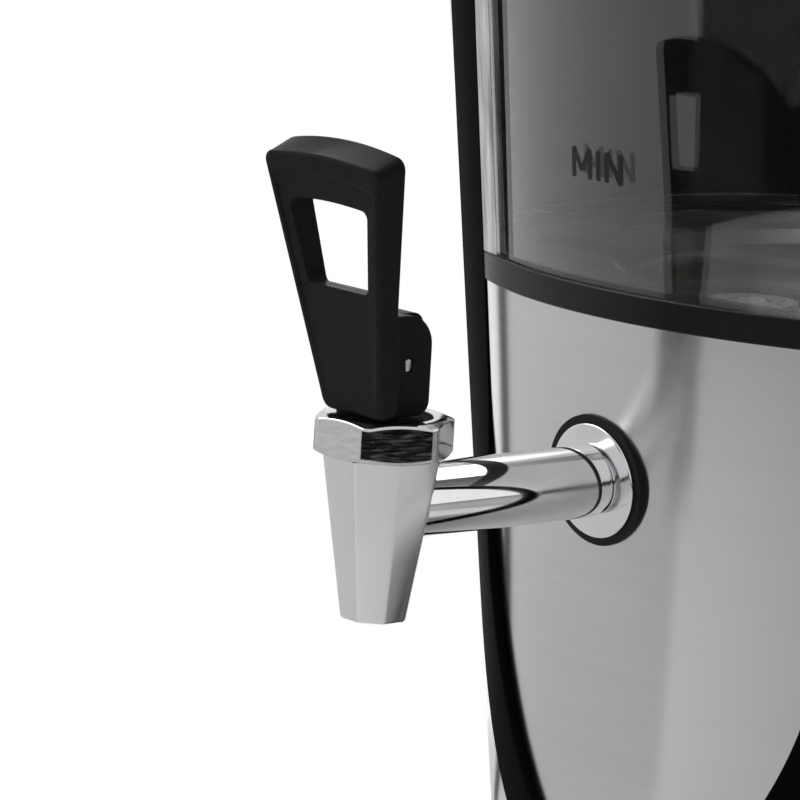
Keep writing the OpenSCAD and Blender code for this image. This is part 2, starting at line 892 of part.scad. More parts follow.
// Side outline of the lever about its pin: first number towards the body, second upward
lever_low = toe_gap - pin_h;
lever_front_top = toe_reach + (lever_h - lever_low) * tan(lever_lean);
lever_crown = 2.2;
toe_t = 5;
neck_t = 4;
neck_up = 14;
lever_outline = [
    [-toe_reach, lever_low],
    [-lever_front_top, lever_h],
    [-lever_front_top + lever_top_t, lever_h + lever_crown],
    [-toe_reach + neck_t, lever_low + neck_up],
    [-toe_reach + toe_t, lever_low]];
lobe_root = 2;
lobe_corner = 4.5;
lobe_foot_w = 2.5;
lobe_foot_h = 3;
lobe_outline = [
    [-toe_reach + lobe_root, lever_low],
    [-toe_reach + lobe_root, lobe_up],
    [lobe_back - lobe_corner, lobe_up],
    [lobe_back, lobe_up - lobe_corner],
    [lobe_back, lever_low + lobe_foot_h],
    [lobe_back - lobe_foot_w, lever_low]];

// Cut for the stem's head, which swings forward inside the lever as the lever tilts
slot_half = stem_r + pass_gap;
slot_d = head_half + pass_gap;
head_swing = norm([head_half, head_up]) + pass_gap;
slot_outline = [
    [slot_d, head_up], [slot_d, -cut_over],
    [-(slot_d + cut_over * sin(lever_tilt)) / cos(lever_tilt), -cut_over],
    [-slot_d * cos(lever_tilt), slot_d * sin(lever_tilt)],
    [-slot_d, head_up]];

// Window in the lever, about its pin
lever_rim = 5.5;
window_drop = 10.5;
window_h = 20;
window_top = lever_h - window_drop;
window_low = window_top - window_h;
pin_sunk = 0.9;

// A side outline about the pin, made as thick as twice half across X
module lever_side(half)
    translate([-half, -tap_y, pin_z])
        rotate([90, 0, 90])
            linear_extrude(2 * half)
                children();

// Half width of the lever at a height about its pin, less an inset
function lever_half(w, inset) =
    lever_low_half + (lever_top_half - lever_low_half) * (w - lever_low) / (lever_h - lever_low) - inset;

// A front outline between two heights about the pin, pushed through the lever along Y
module lever_front(low, high, inset)
    translate([0, -tap_y + cut_over, pin_z])
        rotate([90, 0, 0])
            linear_extrude(3 * cut_over)
                polygon([[-lever_half(low, inset), low], [lever_half(low, inset), low],
                    [lever_half(high, inset), high], [-lever_half(high, inset), high]]);

module tap_lever()
    color("#131314")
        difference() {
            union() {
                intersection() {
                    lever_side(lever_top_half + cut_step)
                        polygon(lever_outline);
                    lever_front(lever_low, lever_h + lever_crown, 0);
                }
                lever_side(lobe_half)
                    polygon(lobe_outline);
            }
            lever_front(window_low, window_top, lever_rim);
            lever_side(slot_half)
                union() {
                    polygon(slot_outline);
                    circle(r = head_swing);
                }
            lever_side(lobe_half + cut_step)
                circle(r = pin_r + run_gap);
        }

module lever_pin()
    color("silver")
        translate([0, -tap_y, pin_z])
            rotate([0, 90, 0])
                cylinder(r = pin_r, h = 2 * (lobe_half - pin_sunk), center = true);

module drain_fitting()
    color("#b9a36a")
        translate([0, -drain_y, 0])
            difference() {
                union() {
                    translate([0, 0, sunk_top])
                        cylinder(r = drain_flange_r, h = drain_flange_t);
                    translate([0, 0, drain_nut_low])
                        cylinder(r = drain_neck_r, h = sunk_top - drain_nut_low + drain_flange_t);
                    translate([0, 0, drain_low])
                        cylinder(r = barb_r, h = sunk_top - drain_low);
                }
                translate([0, 0, drain_low - cut_step])
                    cylinder(r = drain_bore_r, h = sunk_top - drain_low + drain_flange_t + 2 * cut_step);
            }

module drain_washer()
    color("#303030")
        translate([0, -drain_y, sunk_low - drain_washer_t])
            difference() {
                cylinder(r = drain_flange_r, h = drain_washer_t);
                translate([0, 0, -cut_step])
                    cylinder(r = drain_neck_r + run_gap, h = drain_washer_t + 2 * cut_step);
            }

module drain_nut()
    color("#b9a36a")
        translate([0, -drain_y, drain_nut_low])
            difference() {
                hex_bar(drain_nut_flats, drain_nut_t);
                translate([0, 0, -cut_step])
                    cylinder(r = drain_neck_r + run_gap, h = drain_nut_t + 2 * cut_step);
            }

// Bent hose of a given radius, from the drain's tail to the tap's tail
module hose_solid(r) {
    translate([0, -drain_y, tap_z + hose_bend])
        cylinder(r = r, h = hose_top - tap_z - hose_bend);
    translate([0, -drain_y - hose_bend, tap_z + hose_bend])
        rotate([90, 0, 90])
            rotate_extrude(angle = -90)
                translate([hose_bend, 0])
                    circle(r = r);
    translate([0, 0, tap_z])
        along_y(drain_y + hose_bend, hose_front, r);
}

module drain_hose()
    color("#8a8a86")
        difference() {
            hose_solid(hose_r);
            hose_solid(hose_in_r);
        }

module hose_clamps()
    color("silver") {
        translate([0, -drain_y, (hose_top + drain_low - clamp_w) / 2])
            ring(0, clamp_w, hose_r + run_gap, hose_r + clamp_t);
        translate([0, -(barb_in + hose_front - clamp_w) / 2, tap_z])
            rotate([90, 0, 0])
                ring(0, clamp_w, hose_r + run_gap, hose_r + clamp_t);
    }

module heat_spreader()
    color("#b0b2b4")
        translate([0, 0, spreader_low])
            cylinder(r = spreader_r, h = spreader_t);

// The two ends of the open heating ring
module coil_ends()
    for (half = [-1, 1])
        rotate([0, 0, 90 + half * coil_gap_angle / 2])
            translate([coil_r, 0, coil_z])
                children();

module heating_element()
    color("#6f6a66") {
        rotate([0, 0, 90 + coil_gap_angle / 2])
            translate([0, 0, coil_z])
                rotate_extrude(angle = 360 - coil_gap_angle)
                    translate([coil_r, 0])
                        circle(r = coil_tube_r);
        coil_ends() {
            sphere(r = coil_tube_r);
            translate([0, 0, -leg_drop])
                cylinder(r = coil_tube_r, h = leg_drop);
        }
    }

module element_terminals()
    color("#e6e2d8")
        coil_ends()
            translate([0, 0, -leg_drop - terminal_h]) {
                cylinder(r = terminal_r, h = terminal_h);
                translate([-tab_t / 2, -tab_w / 2, -tab_h])
                    cube([tab_t, tab_w, tab_h]);
            }

module thermostat()
    color("#e0ddd4")
        translate([0, 0, spreader_low]) {
            translate([0, 0, -thermostat_lip_t])
                cylinder(r = thermostat_r + thermostat_lip, h = thermostat_lip_t);
            translate([0, 0, -thermostat_h])
                cylinder(r = thermostat_r, h = thermostat_h - thermostat_lip_t);
        }

module thermal_fuse()
    color("#d8d4c8")
        translate([0, fuse_y, spreader_low - fuse_r])
            rotate([0, 90, 0])
                cylinder(r = fuse_r, h = fuse_len, center = true);

block_x = -62;
block_y = 10;
block_w = 18;
block_d = 40;
block_h = 14;
block_poles = 3;
block_hole_r = 2.5;
module terminal_block()
    color("#dcd9cf")
        difference() {
            translate([block_x, block_y, base_in])
                cube([block_w, block_d, block_h]);
            for (i = [0 : block_poles - 1])
                translate([block_x + block_w / 2, block_y + block_d * (i + 1 / 2) / block_poles,
                        base_in + block_h / 2])
                    cylinder(r = block_hole_r, h = block_h);
        }

module control_unit()
    color("#d5d2c9")
        difference() {
            translate([-control_w / 2, -control_front, base_in])
                cube([control_w, control_d, control_h]);
            translate([0, 0, knob_z])
                along_y(control_front - spindle_in - overlap, control_front + cut_step, spindle_r + run_gap);
        }

module control_knob()
    color("#1c1c1d")
        translate([0, 0, knob_z])
            difference() {
                union() {
                    along_y(knob_back, knob_back + knob_t, knob_r);
                    translate([-mark_w / 2, -knob_back - knob_t - mark_t, -knob_r])
                        cube([mark_w, mark_t + overlap, 2 * knob_r]);
                }
                along_y(knob_back - cut_step, knob_back + knob_t - knob_bore_end, spindle_r);
            }

module control_spindle()
    color("silver")
        translate([0, 0, knob_z])
            along_y(control_front - spindle_in, knob_back + knob_t - knob_bore_end, spindle_r);

module pilot_lamp()
    color("#b3321f")
        translate([lamp_x, 0, knob_z]) {
            along_y(lamp_front - lamp_len, lamp_front + lamp_dome, lamp_r);
            translate([0, -lamp_front - lamp_dome, 0])
                rotate([90, 0, 0])
                    cylinder(r1 = lamp_r, r2 = lamp_r - lamp_dome, h = lamp_dome);
        }

// Mains inlet: a flange on the base, a shroud and an open socket that faces backward
module power_inlet()
    color("#151516")
        translate([0, 0, knob_z])
            difference() {
                union() {
                    translate([-inlet_w / 2, inlet_front - inlet_depth, -inlet_h / 2])
                        cube([inlet_w, inlet_depth, inlet_h]);
                    translate([-inlet_w / 2 - inlet_lip, inlet_front, -inlet_h / 2 - inlet_lip])
                        cube([inlet_w + 2 * inlet_lip, inlet_flange_t, inlet_h + 2 * inlet_lip]);
                }
                translate([-inlet_w / 2 + inlet_wall, inlet_front - inlet_depth + inlet_back,
                        -inlet_h / 2 + inlet_wall])
                    cube([inlet_w - 2 * inlet_wall, inlet_depth + cut_over, inlet_h - 2 * inlet_wall]);
            }

module inlet_pins()
    color("#c0b070")
        for (i = [-1 : 1])
            translate([inlet_pin_pitch * i - inlet_pin_w / 2, inlet_front - inlet_depth + inlet_back,
                    knob_z - inlet_pin_h / 2 + (i == 0 ? inlet_pin_up : -inlet_pin_down)])
                cube([inlet_pin_w, inlet_pin_depth, inlet_pin_h]);

// Two leads from the heater's terminals down to the terminal block
wire_r = 1.2;
wire_x = -28;
wire_drop = 14;
wire_rise = 16;
wire_spread = 4;
wire_bends = [0.66, 0.44, 0.27];
function lead_path(half) =
    let (a = 90 + half * coil_gap_angle / 2,
        start = [coil_r * cos(a), coil_r * sin(a), coil_z - leg_drop - terminal_h - tab_h - pass_gap],
        end = [block_x + block_w / 2, block_y + block_d * (2 + half) / 4, base_in + block_h + pass_gap],
        z = [for (share = wire_bends) end[2] + share * (start[2] - end[2])])
        [start, start - [0, 0, wire_drop], [start[0] + wire_x / 2, start[1] + wire_spread * half, z[0]],
            [wire_x - wire_spread * half, start[1], z[1]],
            [(wire_x + end[0]) / 2, (start[1] + end[1]) / 2, z[2]],
            end + [0, 0, wire_rise], end];

module wiring()
    color("#a03028")
        for (half = [-1, 1])
            tube(lead_path(half), wire_r, 8);

base_cover();
feet();
base_screws();
shell_brackets();
body_shell();
outer_shell();
shell_liner();
front_trim();
glass_seat_ring();
tank_floor();
glass_seal();
glass_tank();
top_seal();
top_rim();
lid_plate();
teapot_ring();
side_handle_left();
side_handle_right();
handle_screws();
tap_spout();
tap_pipe();
tap_flange();
tap_gasket();
tap_washer();
tap_lock_nut();
bonnet_nut();
bonnet_bush();
tap_stem();
stem_plug();
stem_spring();
tap_lever();
lever_pin();
drain_fitting();
drain_washer();
drain_nut();
drain_hose();
hose_clamps();
heat_spreader();
heating_element();
element_terminals();
thermostat();
thermal_fuse();
terminal_block();
control_unit();
control_knob();
control_spindle();
pilot_lamp();
power_inlet();
inlet_pins();
wiring();
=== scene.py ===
import json
import math

import bpy
import bmesh
from mathutils import Matrix, Vector


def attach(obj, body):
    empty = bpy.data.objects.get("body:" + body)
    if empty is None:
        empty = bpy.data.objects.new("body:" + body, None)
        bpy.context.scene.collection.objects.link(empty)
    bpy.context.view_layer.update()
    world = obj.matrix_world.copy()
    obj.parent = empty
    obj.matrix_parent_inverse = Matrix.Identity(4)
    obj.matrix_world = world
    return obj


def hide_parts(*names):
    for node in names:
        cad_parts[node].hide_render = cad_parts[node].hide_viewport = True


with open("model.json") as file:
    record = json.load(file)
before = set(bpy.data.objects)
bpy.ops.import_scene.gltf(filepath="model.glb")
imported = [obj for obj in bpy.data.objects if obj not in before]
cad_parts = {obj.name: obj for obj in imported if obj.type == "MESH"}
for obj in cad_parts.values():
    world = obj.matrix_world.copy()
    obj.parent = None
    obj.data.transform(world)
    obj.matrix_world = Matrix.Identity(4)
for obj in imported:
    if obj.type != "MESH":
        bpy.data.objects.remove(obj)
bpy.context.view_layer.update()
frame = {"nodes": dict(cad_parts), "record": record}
MM = 0.001
ROOT = "samovar_body"

# Sizes shared by several pieces, as in the solids, in millimetres
SEAT_R = 119.8
SEAT_Z = 193.7
SLOPE = math.tan(math.radians(6.35))
SHELL_TOP = 330.0
BASE_TOP = 28.0
SHEET = 1.0
FIT_GAP = 0.15
TAP_Y = 185.959
TAP_Z = 152.0
NUT_LOW = 164.2
NUT_TOP = 174.0
PIN_Z = 187.0


def wall_r(z):
    """Radius of the tapered wall at a height."""
    return SEAT_R + (z - SEAT_Z) * SLOPE


# Mesh helpers


def new_object(name, data):
    obj = bpy.data.objects.new(name, data)
    bpy.context.scene.collection.objects.link(obj)
    return obj


def new_mesh(name, points, faces):
    """A mesh from points in millimetres, with its faces turned outward."""
    mesh = bpy.data.meshes.new(name)
    mesh.from_pydata([tuple(c * MM for c in p) for p in points], [], faces)
    mesh.validate()
    work = bmesh.new()
    work.from_mesh(mesh)
    bmesh.ops.recalc_face_normals(work, faces=work.faces)
    work.to_mesh(mesh)
    work.free()
    return mesh


def mesh_object(name, points, faces, body=ROOT, smooth=35.0):
    """A piece that a body carries; edges that turn by more than smooth, in degrees, stay sharp."""
    mesh = new_mesh(name, points, faces)
    obj = new_object(name, mesh)
    if smooth:
        mesh.shade_smooth()
        mesh.set_sharp_from_angle(angle=math.radians(smooth))
    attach(obj, body)
    return obj


def round_profile(points, radii, steps=5):
    """A closed profile with its corners rounded, by one radius or by one for each corner."""
    longest_share = 0.49
    out = []
    n = len(points)
    for i, corner in enumerate(points):
        p = Vector(corner)
        a = Vector(points[i - 1]) - p
        b = Vector(points[(i + 1) % n]) - p
        r = radii[i] if isinstance(radii, list) else radii
        if r <= 0:
            out.append(tuple(p))
            continue
        a_len, b_len = a.length, b.length
        a.normalize()
        b.normalize()
        half = math.acos(max(-1.0, min(1.0, a.dot(b)))) / 2
        cut = min(r / math.tan(half), longest_share * a_len, longest_share * b_len)
        r = cut * math.tan(half)
        centre = p + (a + b).normalized() * (r / math.sin(half))
        first, last = p + a * cut - centre, p + b * cut - centre
        turn = first.angle_signed(last)
        for k in range(steps + 1):
            t = -turn * k / steps
            out.append((centre.x + first.x * math.cos(t) - first.y * math.sin(t),
                        centre.y + first.x * math.sin(t) + first.y * math.cos(t)))
    return out


def held(profile, gap=0.4):
    """The profile with a point close to each end of its long sides, so that these are shaded as straight."""
    out = []
    for i, corner in enumerate(profile):
        p, q = Vector(corner), Vector(profile[(i + 1) % len(profile)])
        out.append(tuple(p))
        if (q - p).length > 4 * gap:
            step = (q - p).normalized() * gap
            out += [tuple(p + step), tuple(q - step)]
    return out


def bridge(loops, closed=True):
    """Points and faces between neighbouring loops of equal length. Closed joins the last loop to the first;
    otherwise these two are filled."""
    n, count = len(loops[0]), len(loops)
    points = [p for loop in loops for p in loop]
    faces = []
    for i in range(count if closed else count - 1):
        a, b = i * n, (i + 1) % count * n
        for k in range(n):
            m = (k + 1) % n
            faces.append((a + k, a + m, b + m, b + k))
    if not closed:
        faces.append(tuple(range(n)))
        faces.append(tuple((count - 1) * n + k for k in reversed(range(n))))
    return points, faces


def lathe(name, profile, segments, place=Matrix.Identity(4)):
    """A closed profile of (radius, height) turned round Z, then moved by place."""
    loops = []
    for i in range(segments):
        a = 2 * math.pi * i / segments
        loops.append([tuple(place @ Vector((r * math.cos(a), r * math.sin(a), z))) for r, z in held(profile)])
    points, faces = bridge(loops)
    return mesh_object(name, points, faces)


# Material helpers


def new_material(name):
    mat = bpy.data.materials.new(name)
    mat.use_nodes = True
    return mat, mat.node_tree.nodes, mat.node_tree.links, mat.node_tree.nodes["Principled BSDF"]


def noise(nodes, links, scale, detail):
    coord = nodes.new("ShaderNodeTexCoord")
    mapping = nodes.new("ShaderNodeMapping")
    mapping.inputs["Scale"].default_value = scale
    tex = nodes.new("ShaderNodeTexNoise")
    tex.inputs["Scale"].default_value = 1.0
    tex.inputs["Detail"].default_value = detail
    tex.inputs["Roughness"].default_value = 0.5
    links.new(coord.outputs["Object"], mapping.inputs["Vector"])
    links.new(mapping.outputs["Vector"], tex.inputs["Vector"])
    return tex.outputs["Fac"]


def remap(nodes, links, source, low, high):
    """The middle of a noise's range, spread over low to high."""
    ramp = nodes.new("ShaderNodeMapRange")
    ramp.inputs["From Min"].default_value = 0.3
    ramp.inputs["From Max"].default_value = 0.7
    ramp.inputs["To Min"].default_value = low
    ramp.inputs["To Max"].default_value = high
    links.new(source, ramp.inputs["Value"])
    return ramp.outputs["Result"]


def colour_mix(nodes, links, source, low, high):
    mix = nodes.new("ShaderNodeMix")
    mix.data_type = "RGBA"
    mix.inputs["A"].default_value = (*low, 1)
    mix.inputs["B"].default_value = (*high, 1)
    links.new(remap(nodes, links, source, 0.0, 1.0), mix.inputs["Factor"])
    return mix.outputs["Result"]


def add_bump(nodes, links, bsdf, source, strength):
    bump = nodes.new("ShaderNodeBump")
    bump.inputs["Strength"].default_value = strength
    bump.inputs["Distance"].default_value = 0.0002
    links.new(source, bump.inputs["Height"])
    links.new(bump.outputs["Normal"], bsdf.inputs["Normal"])


def blend_shaders(nodes, links, factor, first, second, output):
    """Sends the first shader to an output node where the factor is 0, and the second where it is 1."""
    blend = nodes.new("ShaderNodeMixShader")
    links.new(factor, blend.inputs["Fac"])
    links.new(first, blend.inputs[1])
    links.new(second, blend.inputs[2])
    links.new(blend.outputs["Shader"], nodes[output].inputs["Surface"])


def metal(name, low, high, rough, grain, bump=0.0, aniso=0.0):
    """A metal between two colours and two roughnesses, with a grain scaled along X, Y and Z."""
    mat, nodes, links, bsdf = new_material(name)
    source = noise(nodes, links, grain, 3.0)
    bsdf.inputs["Metallic"].default_value = 1.0
    links.new(colour_mix(nodes, links, source, low, high), bsdf.inputs["Base Color"])
    links.new(remap(nodes, links, source, *rough), bsdf.inputs["Roughness"])
    if bump:
        add_bump(nodes, links, bsdf, source, bump)
    if aniso:
        tangent = nodes.new("ShaderNodeTangent")
        tangent.direction_type = "RADIAL"
        tangent.axis = "Z"
        bsdf.inputs["Anisotropic"].default_value = aniso
        bsdf.inputs["Anisotropic Rotation"].default_value = 0.25
        links.new(tangent.outputs["Tangent"], bsdf.inputs["Tangent"])
    return mat


def plastic(name, low, high, rough, grain, bump=0.0, spec=0.5):
    """A plastic, rubber or print between two colours and two roughnesses, with an even grain."""
    mat, nodes, links, bsdf = new_material(name)
    source = noise(nodes, links, grain, 4.0)
    links.new(colour_mix(nodes, links, source, low, high), bsdf.inputs["Base Color"])
    links.new(remap(nodes, links, source, *rough), bsdf.inputs["Roughness"])
    bsdf.inputs["Specular IOR Level"].default_value = spec
    if bump:
        add_bump(nodes, links, bsdf, source, bump)
    return mat


def glass(name, low, high, through):
    """Clear glass. Light passes straight through it, so that lamps reach the inside of the tank."""
    mat, nodes, links, bsdf = new_material(name)
    source = noise(nodes, links, (3, 3, 3), 2.0)
    links.new(colour_mix(nodes, links, source, low, high), bsdf.inputs["Base Color"])
    bsdf.inputs["IOR"].default_value = 1.52
    bsdf.inputs["Roughness"].default_value = 0.0
    bsdf.inputs["Transmission Weight"].default_value = 1.0
    path = nodes.new("ShaderNodeLightPath")
    clear = nodes.new("ShaderNodeBsdfTransparent")
    clear.inputs["Color"].default_value = (*through, 1)
    blend_shaders(nodes, links, path.outputs["Is Shadow Ray"], bsdf.outputs["BSDF"], clear.outputs["BSDF"],
                  "Material Output")
    return mat


# Finishes: two colours, two roughnesses and the grain

BRUSHED = metal("brushed_steel", (0.455, 0.455, 0.46), (0.475, 0.475, 0.48), (0.205, 0.215),
                (14, 14, 900), aniso=0.9)
FLOOR_STEEL = metal("floor_steel", (0.72, 0.72, 0.73), (0.80, 0.80, 0.81), (0.18, 0.30), (25, 25, 25))
POLISHED = metal("polished_steel", (0.70, 0.70, 0.71), (0.78, 0.78, 0.79), (0.10, 0.22), (30, 30, 30))
CHROME = metal("chrome", (0.76, 0.76, 0.77), (0.82, 0.82, 0.83), (0.03, 0.07), (90, 90, 90))
NUT_CHROME = metal("nut_chrome", (0.44, 0.44, 0.45), (0.56, 0.56, 0.57), (0.05, 0.16),
                   (240, 240, 1600), bump=0.003)
SATIN = metal("satin_chrome", (0.58, 0.58, 0.59), (0.64, 0.64, 0.65), (0.12, 0.18), (60, 60, 14))
ZINC = metal("zinc", (0.5, 0.5, 0.5), (0.62, 0.62, 0.62), (0.25, 0.4), (600, 600, 600))
BRASS = metal("brass", (0.55, 0.42, 0.18), (0.68, 0.54, 0.27), (0.2, 0.35), (400, 400, 400))
ALUMINIUM = metal("aluminium", (0.6, 0.6, 0.61), (0.72, 0.72, 0.73), (0.35, 0.5), (300, 300, 300))
SHEATH = metal("sheath", (0.22, 0.19, 0.17), (0.34, 0.31, 0.29), (0.4, 0.55), (200, 200, 200))
BLACK = plastic("black_plastic", (0.009, 0.009, 0.0095), (0.013, 0.013, 0.0135), (0.30, 0.40),
                (700, 700, 700), spec=0.12)
TRIM_BLACK = plastic("trim_black", (0.0045, 0.0045, 0.005), (0.006, 0.006, 0.0065), (0.45, 0.55),
                     (700, 700, 700), spec=0.002)
LEVER_BLACK = plastic("lever_black", (0.024, 0.024, 0.0245), (0.029, 0.029, 0.0295), (0.16, 0.22),
                      (500, 500, 500), spec=0.0045)
LINER = plastic("liner_black", (0.005, 0.005, 0.005), (0.007, 0.007, 0.007), (0.5, 0.65),
                (300, 300, 300), spec=0.05)
RUBBER = plastic("rubber", (0.007, 0.007, 0.007), (0.011, 0.011, 0.011), (0.5, 0.65),
                 (900, 900, 900), bump=0.03, spec=0.12)
SILICONE = plastic("silicone", (0.42, 0.41, 0.38), (0.52, 0.5, 0.47), (0.4, 0.5), (300, 300, 300))
CERAMIC = plastic("ceramic", (0.62, 0.6, 0.54), (0.74, 0.72, 0.66), (0.4, 0.55), (500, 500, 500))
LENS = plastic("lamp_lens", (0.45, 0.03, 0.015), (0.55, 0.05, 0.02), (0.1, 0.16), (300, 300, 300))
SLEEVE = plastic("wire_sleeve", (0.32, 0.03, 0.025), (0.42, 0.05, 0.04), (0.45, 0.6), (900, 900, 900))
# The seal's colour runs in upright streaks from dark grey to near white: painted reflection, the streaks of
# light that a clear seal beside the glass would mirror
SEAL_PAINTED_REFLECTION = plastic("seal_painted_reflection", (0.28, 0.28, 0.28), (0.9, 0.9, 0.9), (0.15, 0.3), (260, 260, 9))
MARK = plastic("mark_print", (0.006, 0.006, 0.006), (0.009, 0.009, 0.009), (0.45, 0.55),
               (900, 900, 900), spec=0.2)
GLASS = glass("clear_glass", (0.93, 0.95, 0.95), (0.97, 0.98, 0.98), (0.85, 0.86, 0.86))

SLOT_MATERIAL = {
    "brushed_steel": BRUSHED, "polished_steel": POLISHED, "chrome": CHROME, "black_plastic": BLACK,
    "lever_plastic": LEVER_BLACK, "black_paint": LINER, "clear_glass": GLASS, "rubber": RUBBER,
    "silicone": SILICONE, "brass": BRASS, "plated_steel": ZINC, "aluminium": ALUMINIUM,
    "element_sheath": SHEATH, "ceramic": CERAMIC, "lamp_lens": LENS, "wire_sleeve": SLEEVE}
NODE_SLOT = {s["node"]: s["material_slot"] for s in frame["record"]["subparts"]}


def paint(obj, mat):
    obj.data.materials.clear()
    obj.data.materials.append(mat)


def stand_for(obj, node, mat=None):
    """obj is shown in place of a CAD node, in that node's finish unless another is given."""
    slot = NODE_SLOT[node]
    paint(obj, mat or SLOT_MATERIAL[slot])
    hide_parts(node)


def belongs(obj, slot, mat=None):
    """obj is a piece of the scene alone, in a slot's finish unless another is given."""
    paint(obj, mat or SLOT_MATERIAL[slot])


for name, obj in frame["nodes"].items():
    paint(obj, SLOT_MATERIAL[NODE_SLOT[name]])
paint(frame["nodes"]["bonnet_bush"], TRIM_BLACK)
paint(frame["nodes"]["drain_fitting"], ZINC)

# Body: steel front, seat ring, glass and tank floor, turned finely so that reflections run smoothly

BODY_SEGMENTS = 360
PANEL_ROW = 110.0
panel = lathe("front_steel", [
    (wall_r(BASE_TOP) - SHEET, BASE_TOP), (wall_r(BASE_TOP), BASE_TOP), (wall_r(PANEL_ROW), PANEL_ROW),
    (wall_r(SEAT_Z), SEAT_Z), (wall_r(SEAT_Z) - SHEET, SEAT_Z)], BODY_SEGMENTS)
stand_for(panel, "body_shell")

RING_TOP = SEAT_Z + 7.5
RING_IN = SEAT_R - 10.0
RING_PROUD = 0.3
LIP_SET = 0.85
SHELF_Z = SEAT_Z + 3.0
seat = lathe("seat_ring", round_profile([
    (RING_IN, SEAT_Z), (SEAT_R + RING_PROUD, SEAT_Z), (wall_r(RING_TOP) + RING_PROUD, RING_TOP),
    (wall_r(RING_TOP) - LIP_SET, RING_TOP), (wall_r(SHELF_Z) - LIP_SET, SHELF_Z), (RING_IN, SHELF_Z)],
    [0, 0.5, 0.6, 0.2, 0, 0]), BODY_SEGMENTS)
stand_for(seat, "glass_seat_ring")

GLASS_SET = 1.0
GLASS_T = 4.0
GLASS_LOW = 199.2
GLASS_TOP = 328.5
GLASS_EDGE = 0.5
tank = lathe("tank_glass", round_profile([
    (wall_r(GLASS_LOW) - GLASS_SET - GLASS_T, GLASS_LOW), (wall_r(GLASS_LOW) - GLASS_SET, GLASS_LOW),
    (wall_r(GLASS_TOP) - GLASS_SET, GLASS_TOP), (wall_r(GLASS_TOP) - GLASS_SET - GLASS_T, GLASS_TOP)],
    GLASS_EDGE), BODY_SEGMENTS)
stand_for(tank, "glass_tank")

STEP_R = 84.0
STEP_DROP = 5.0
STEP_SOFT = 3.0
AXIS_R = 0.01
FLOOR_R = wall_r(SHELF_Z) - SHEET
WELL_Z = SHELF_Z - STEP_DROP
plate = lathe("floor_plate", round_profile([
    (AXIS_R, WELL_Z), (STEP_R - STEP_DROP, WELL_Z), (STEP_R + SHEET, SHELF_Z), (FLOOR_R, SHELF_Z),
    (FLOOR_R, SHELF_Z + SHEET), (STEP_R, SHELF_Z + SHEET), (STEP_R - STEP_DROP, WELL_Z + SHEET),
    (AXIS_R, WELL_Z + SHEET)], [0, 0, 0, 0, 0, STEP_SOFT, STEP_SOFT, 0], 8), 256)
stand_for(plate, "tank_floor", FLOOR_STEEL)

# Trim round the front window, a raised band with rounded edges

WINDOW_HALF = 59.2
FLANK_R = 120.0
TIP_R = 25.0
TRIM_W = 20.0
TRIM_FOOT = 10.0
TRIM_RISE = 2.5
TRIM_LOW = BASE_TOP + FIT_GAP
TRIM_TOP = SHELL_TOP - FIT_GAP
WINDOW_LOW = TRIM_LOW + TRIM_FOOT
WINDOW_LEAN = math.tan(math.radians(0.9))
WINDOW_TURN = math.radians(2.4)
BEND_Z = WINDOW_LOW + TIP_R + math.sqrt((FLANK_R - TIP_R) ** 2 - (FLANK_R - WINDOW_HALF) ** 2)
SIDE_STEPS, FLANK_STEPS, TIP_STEPS = 60, 40, 16

# The band's inner edge is low beside the glass, and rises to the full height below it
GLASS_SIDE_RISE = 0.45
RISE_START = 168.0
RISE_RUN = 50.0


def window_path(grow, low):
    """Half of the window's outline, grown sideways and ending at a height, from the top down to the tip."""
    side, tip = WINDOW_HALF + grow, TIP_R + grow
    tip_z = low + tip
    reach = (side + tip) / 2 + (BEND_Z - tip_z) ** 2 / (side - tip) / 2
    middle = reach - side
    meet = math.acos(middle / (reach - tip))
    out = []
    for i in range(SIDE_STEPS + 1):
        z = TRIM_TOP + (BEND_Z - TRIM_TOP) * i / SIDE_STEPS
        out.append((-(side + (z - BEND_Z) * WINDOW_LEAN), z))
    for i in range(1, FLANK_STEPS + 1):
        a = meet * i / FLANK_STEPS
        out.append((middle - reach * math.cos(a), BEND_Z - reach * math.sin(a)))
    for i in range(1, TIP_STEPS + 1):
        a = meet + (math.pi / 2 - meet) * i / TIP_STEPS
        out.append((-tip * math.cos(a), tip_z - tip * math.sin(a)))
    return out


def on_front(x, z, h):
    """The point of the body's front at a place across the window, raised above the wall."""
    r = wall_r(z) + h
    y = -math.sqrt(r * r - x * x)
    return (x * math.cos(WINDOW_TURN) - y * math.sin(WINDOW_TURN),
            x * math.sin(WINDOW_TURN) + y * math.cos(WINDOW_TURN), z)


def inner_rise(z):
    """Height of the band's inner edge above the wall."""
    share = min(1.0, max(0.0, (RISE_START - z) / RISE_RUN))
    return GLASS_SIDE_RISE + (TRIM_RISE - GLASS_SIDE_RISE) * share * share * (3 - 2 * share)


def trim_section(width, z):
    """The band's section at a height, as points (distance from the inner edge, height above the wall)."""
    glass_depth, steel_gap, outer_foot = -0.9, 0.02, 0.45
    low, rise = glass_depth if z > RING_TOP else steel_gap, inner_rise(z)
    corners = [(0.0, low), (0.0, rise), (width, TRIM_RISE), (width, outer_foot)]
    return round_profile(corners, [0, 0.4 * rise, 0.8, 0])


trim_rows = []
for (x, z), (far_x, far_z) in zip(window_path(0.0, WINDOW_LOW), window_path(TRIM_W, TRIM_LOW)):
    width = math.hypot(far_x - x, far_z - z)
    across, along = (far_x - x) / width, (far_z - z) / width
    trim_rows.append([(x + across * s, z + along * s, h) for s, h in trim_section(width, z)])
trim_rows += [[(-x, z, h) for x, z, h in row] for row in reversed(trim_rows[:-1])]
points, faces = bridge([[on_front(*p) for p in row] for row in trim_rows], closed=False)
trim = mesh_object("window_trim", points, faces)
stand_for(trim, "front_trim", TRIM_BLACK)
